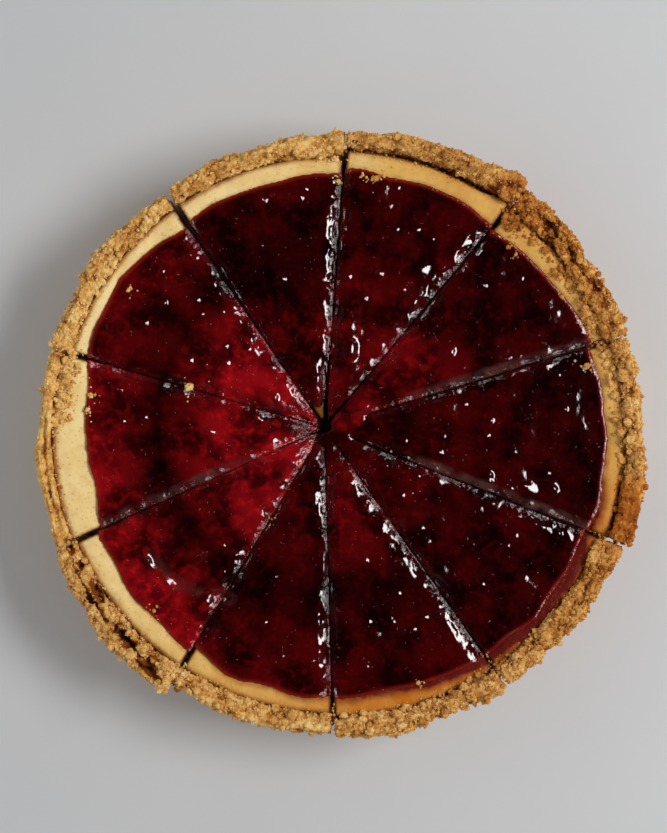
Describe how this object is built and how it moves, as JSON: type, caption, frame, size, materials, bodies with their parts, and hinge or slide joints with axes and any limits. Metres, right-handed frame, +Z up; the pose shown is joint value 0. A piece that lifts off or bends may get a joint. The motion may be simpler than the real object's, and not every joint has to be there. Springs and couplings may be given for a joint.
{
  "type": "baked cheesecake",
  "caption": "Round baked cheesecake in a crumb crust with a glossy dark red jam top, cut into wedge slices that still stand together.",
  "frame": {"origin": "centre of the footprint, on the flat underside of the cake", "axes": "+Z up out of the jam top; +X towards the cake's right side and +Y away from the viewer"},
  "size_m": [0.2294, 0.228, 0.0471],
  "materials": {
    "crumb_crust": "coarse baked crumbs",
    "baked_filling": "smooth baked, faintly porous",
    "jam": "wet gloss"
  },
  "bodies": {
    "root": {"crust_01": "crumb_crust", "filling_01": "baked_filling", "jam_01": "jam", "crust_02": "crumb_crust", "filling_02": "baked_filling", "jam_02": "jam", "crust_03": "crumb_crust", "filling_03": "baked_filling", "jam_03": "jam", "crust_04": "crumb_crust", "filling_04": "baked_filling", "jam_04": "jam", "crust_05": "crumb_crust", "filling_05": "baked_filling", "jam_05": "jam", "crust_06": "crumb_crust", "filling_06": "baked_filling", "jam_06": "jam", "crust_07": "crumb_crust", "filling_07": "baked_filling", "jam_07": "jam", "crust_08": "crumb_crust", "filling_08": "baked_filling", "jam_08": "jam", "crust_09": "crumb_crust", "filling_09": "baked_filling", "jam_09": "jam", "crust_10": "crumb_crust", "filling_10": "baked_filling", "jam_10": "jam"}
  },
  "joints": []
}
